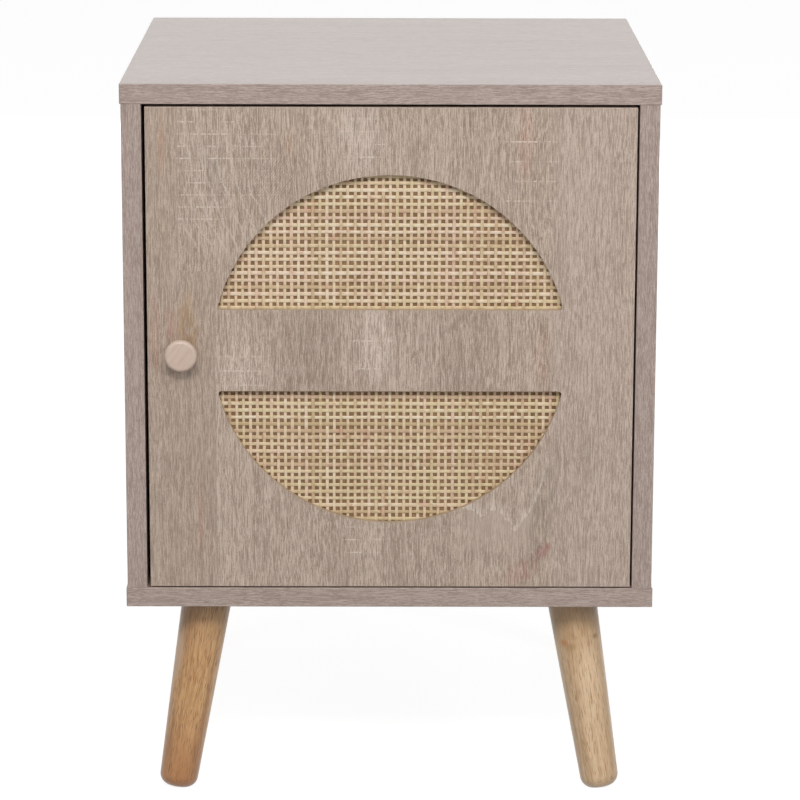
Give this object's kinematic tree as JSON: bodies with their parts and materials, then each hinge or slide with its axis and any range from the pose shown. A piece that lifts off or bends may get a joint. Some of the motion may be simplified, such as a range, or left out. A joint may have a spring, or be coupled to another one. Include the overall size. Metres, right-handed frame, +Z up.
{
  "type": "nightstand",
  "caption": "Square bedside cupboard on splayed turned legs, with an inset door that has a round cane window crossed by a band, and a round wooden knob.",
  "frame": {"origin": "on the floor, under the middle of the whole piece with its knob", "axes": "+Z up, -Y out of the door's front, +X to the right of a viewer in front, where the door is hung"},
  "size_m": [0.4, 0.412, 0.55],
  "materials": {
    "oak_board": "matt washed-oak laminate",
    "back_board": "matt brown hardboard",
    "cane": "natural cane, lightly lacquered",
    "leg_wood": "clear satin lacquer on pale wood",
    "knob_wood": "clear satin lacquer on pale wood",
    "zinc": "bright zinc plate",
    "hinge_steel": "nickel plate",
    "stop_plastic": "moulded plastic",
    "stop_rubber": "soft pad"
  },
  "bodies": {
    "carcass": {"top_panel": "oak_board", "bottom_panel": "oak_board", "left_side_panel": "oak_board", "right_side_panel": "oak_board", "back_panel": "back_board", "leg_front_left": "leg_wood", "leg_front_right": "leg_wood", "leg_rear_left": "leg_wood", "leg_rear_right": "leg_wood", "dowels": "leg_wood", "cam_bolts": "zinc", "cam_locks": "zinc", "leg_bolts": "zinc", "leg_inserts": "zinc", "hinge_plate_screws": "zinc", "hinge_arm_screws": "zinc", "door_stop_screw": "zinc", "hinge_arm_upper": "hinge_steel", "hinge_arm_lower": "hinge_steel", "hinge_plate_upper": "hinge_steel", "hinge_plate_lower": "hinge_steel", "hinge_arm_pins": "hinge_steel", "door_stop": "stop_plastic", "door_stop_pad": "stop_rubber"},
    "outer_links": {"hinge_outer_link_upper": "hinge_steel", "hinge_outer_link_lower": "hinge_steel"},
    "door": {"door_panel": "oak_board", "cane_webbing": "cane", "cane_backing": "back_board", "cane_backing_brads": "zinc", "door_knob": "knob_wood", "knob_screw": "zinc", "hinge_cup_upper": "hinge_steel", "hinge_cup_lower": "hinge_steel", "hinge_cup_pins": "hinge_steel", "hinge_cup_screws": "zinc"},
    "inner_links": {"hinge_inner_link_upper": "hinge_steel", "hinge_inner_link_lower": "hinge_steel", "hinge_inner_link_pins": "hinge_steel"}
  },
  "joints": [
    {"name": "outer_link_swing", "type": "hinge", "parent": "carcass", "child": "outer_links", "pos_m": [0.154, -0.168, 0.3495], "axis": [0, 0, 1], "range_deg": [-65.1, 0]},
    {"name": "door_swing", "type": "hinge", "parent": "outer_links", "child": "door", "pos_m": [0.1732, -0.1832, 0.3495], "axis": [0, 0, 1], "range_deg": [0, 157]},
    {"name": "inner_link_swing", "type": "hinge", "parent": "carcass", "child": "inner_links", "pos_m": [0.1445, -0.175, 0.3495], "axis": [0, 0, 1], "range_deg": [-64.2, 0]}
  ],
  "couplings": [
    {"joint": "outer_link_swing", "follows": "door_swing", "ratio": -0.41406},
    {"joint": "inner_link_swing", "follows": "door_swing", "ratio": -0.40851}
  ]
}
